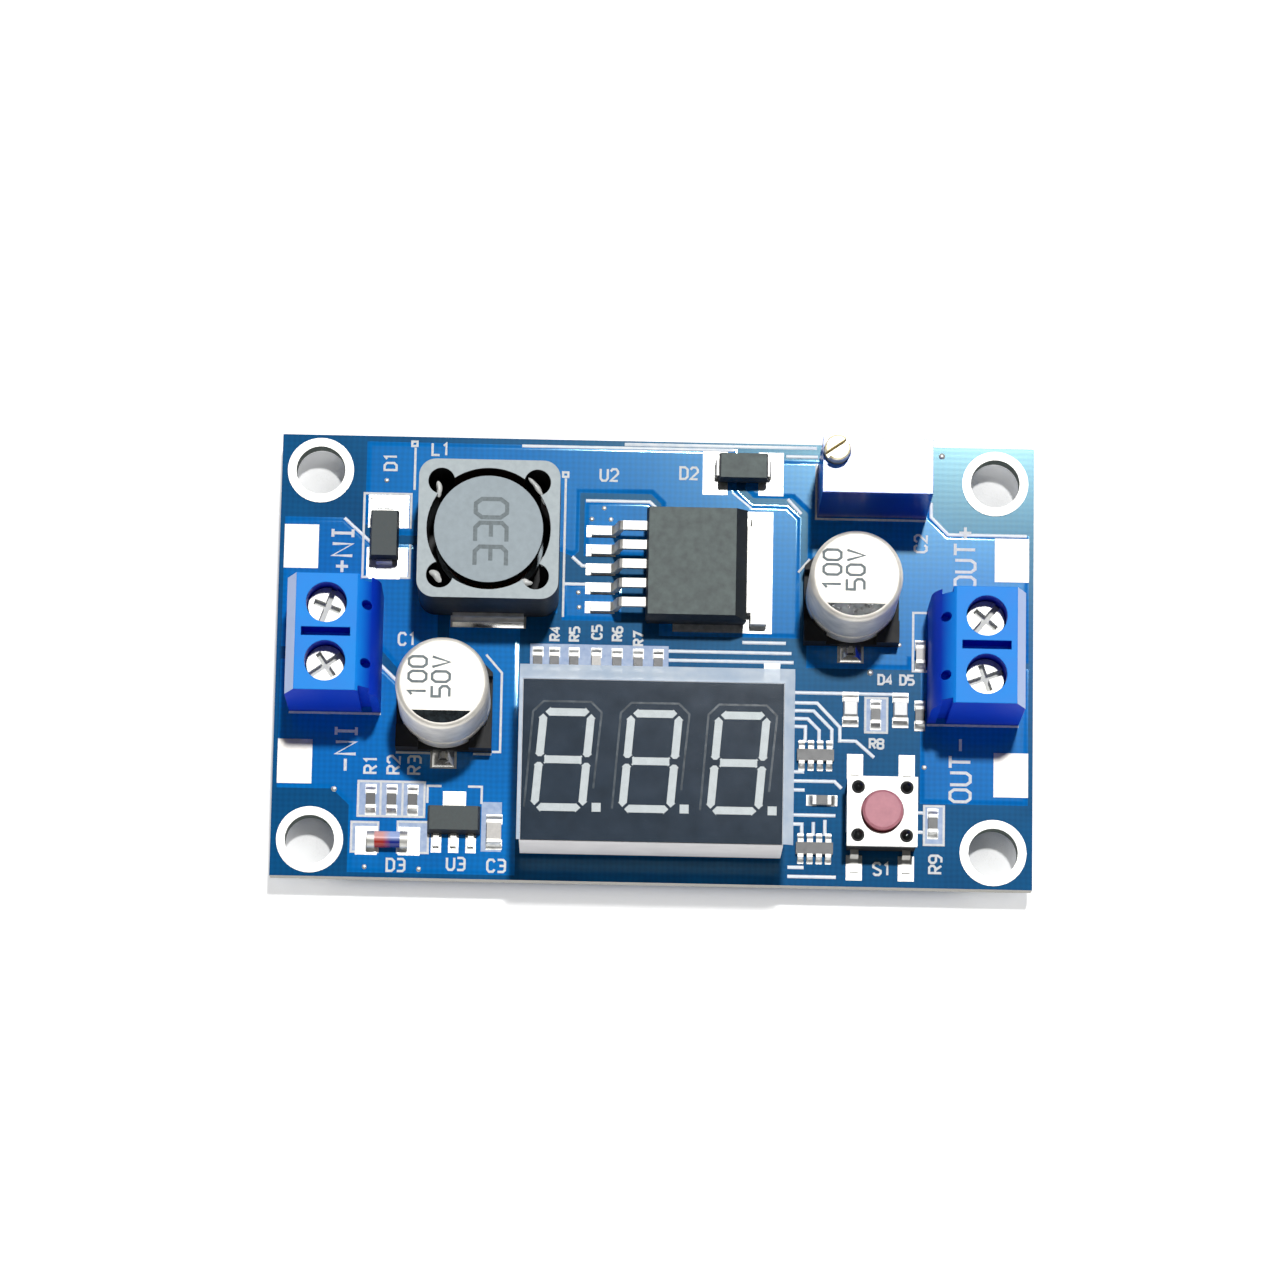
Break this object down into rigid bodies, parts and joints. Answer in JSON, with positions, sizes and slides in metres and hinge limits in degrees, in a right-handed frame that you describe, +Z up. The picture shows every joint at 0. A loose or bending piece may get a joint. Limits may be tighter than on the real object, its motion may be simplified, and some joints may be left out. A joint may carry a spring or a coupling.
{
  "type": "boost converter module",
  "caption": "Step-up converter module: blue circuit board with screw terminals, shielded inductor, power regulator, can capacitors, trimmer, push button and a three-digit display.",
  "frame": {"origin": "centre of the four mounting holes, on the underside of the board", "axes": "+Z up out of the component side, +X from the input terminal to the output terminal, +Y to the back edge, where the trimmer is"},
  "size_m": [0.066, 0.0392, 0.0151],
  "materials": {
    "solder_mask": "glossy blue solder mask over glass-fibre board",
    "tin": "bright tin plate",
    "solder": "solder",
    "blue_plastic": "moulded, satin",
    "steel": "zinc plated steel",
    "ferrite": "ground ferrite",
    "enamelled_copper": "enamelled copper wire",
    "black_plastic": "moulded, matt",
    "grey_epoxy": "transfer-moulded epoxy, matt",
    "aluminium": "drawn aluminium can",
    "brass": "turned brass",
    "case_plastic": "light grey moulding",
    "face_film": "dark printed face",
    "diffuser": "milky cast epoxy",
    "button_plastic": "moulded, matt",
    "amber_glass": "glass tube",
    "chip_ceramic": "sintered ceramic",
    "led_ceramic": "white ceramic"
  },
  "bodies": {
    "module": {"circuit_board": "solder_mask", "mounting_rings": "tin", "wire_pads": "tin", "solder_pads": "tin", "solder_joints": "solder", "in_terminal_housing": "blue_plastic", "in_terminal_contacts": "tin", "out_terminal_housing": "blue_plastic", "out_terminal_contacts": "tin", "inductor_shield": "ferrite", "inductor_core": "ferrite", "inductor_winding": "enamelled_copper", "inductor_base": "black_plastic", "inductor_clips": "tin", "regulator_body": "grey_epoxy", "regulator_tab": "tin", "regulator_leads": "tin", "input_diode_body": "grey_epoxy", "input_diode_leads": "tin", "output_diode_body": "grey_epoxy", "output_diode_leads": "tin", "trimmer_body": "blue_plastic", "trimmer_pins": "tin", "input_capacitor_can": "aluminium", "input_capacitor_base": "black_plastic", "input_capacitor_leads": "tin", "output_capacitor_can": "aluminium", "output_capacitor_base": "black_plastic", "output_capacitor_leads": "tin", "display_case": "case_plastic", "display_face": "face_film", "display_segments": "diffuser", "display_resin": "diffuser", "display_pins": "tin", "meter_controller_body": "black_plastic", "meter_controller_leads": "tin", "switch_base": "black_plastic", "switch_cover": "steel", "switch_dome": "steel", "switch_leads": "tin", "small_regulator_body": "black_plastic", "small_regulator_leads": "tin", "glass_diode_tube": "amber_glass", "glass_diode_ends": "tin", "chip_resistor_bodies": "black_plastic", "chip_capacitor_bodies": "chip_ceramic", "chip_ends": "tin", "indicator_led_bodies": "led_ceramic", "indicator_led_lenses": "diffuser"},
    "in_plus_guard": {"in_plus_wire_guard": "steel"},
    "in_plus_screw": {"in_plus_screw": "steel"},
    "in_minus_guard": {"in_minus_wire_guard": "steel"},
    "in_minus_screw": {"in_minus_screw": "steel"},
    "out_plus_guard": {"out_plus_wire_guard": "steel"},
    "out_plus_screw": {"out_plus_screw": "steel"},
    "out_minus_guard": {"out_minus_wire_guard": "steel"},
    "out_minus_screw": {"out_minus_screw": "steel"},
    "trimmer_screw": {"trimmer_screw": "brass"},
    "switch_button": {"switch_button": "button_plastic"}
  },
  "joints": [
    {"name": "in_plus_guard_slide", "type": "slide", "parent": "module", "child": "in_plus_guard", "axis": [0, 0, -1], "range_m": [-0.00135, 0.0009]},
    {"name": "in_plus_screw_turn", "type": "hinge", "parent": "in_plus_guard", "child": "in_plus_screw", "pos_m": [-0.02825, 0.00254, 0.0085], "axis": [0, 0, -1], "range_deg": [-1085, 725]},
    {"name": "in_minus_guard_slide", "type": "slide", "parent": "module", "child": "in_minus_guard", "axis": [0, 0, -1], "range_m": [-0.00135, 0.0009]},
    {"name": "in_minus_screw_turn", "type": "hinge", "parent": "in_minus_guard", "child": "in_minus_screw", "pos_m": [-0.02825, -0.00254, 0.0085], "axis": [0, 0, -1], "range_deg": [-1085, 725]},
    {"name": "out_plus_guard_slide", "type": "slide", "parent": "module", "child": "out_plus_guard", "axis": [0, 0, -1], "range_m": [-0.00135, 0.0009]},
    {"name": "out_plus_screw_turn", "type": "hinge", "parent": "out_plus_guard", "child": "out_plus_screw", "pos_m": [0.02825, 0.00254, 0.0085], "axis": [0, 0, -1], "range_deg": [-1085, 725]},
    {"name": "out_minus_guard_slide", "type": "slide", "parent": "module", "child": "out_minus_guard", "axis": [0, 0, -1], "range_m": [-0.00135, 0.0009]},
    {"name": "out_minus_screw_turn", "type": "hinge", "parent": "out_minus_guard", "child": "out_minus_screw", "pos_m": [0.02825, -0.00254, 0.0085], "axis": [0, 0, -1], "range_deg": [-1085, 725]},
    {"name": "trimmer_screw_turn", "type": "hinge", "parent": "module", "child": "trimmer_screw", "pos_m": [0.01525, 0.0167, 0.0116], "axis": [0, 0, 1], "continuous": true},
    {"name": "switch_button_press", "type": "slide", "parent": "module", "child": "switch_button", "axis": [0, 0, -1], "range_m": [0, 0.00025], "stiffness_N_per_m": 6000, "deforming": ["switch_dome"]}
  ],
  "couplings": [
    {"joint": "in_plus_screw_turn", "follows": "in_plus_guard_slide", "rad_per_m": 13963},
    {"joint": "in_minus_screw_turn", "follows": "in_minus_guard_slide", "rad_per_m": 13963},
    {"joint": "out_plus_screw_turn", "follows": "out_plus_guard_slide", "rad_per_m": 13963},
    {"joint": "out_minus_screw_turn", "follows": "out_minus_guard_slide", "rad_per_m": 13963}
  ]
}
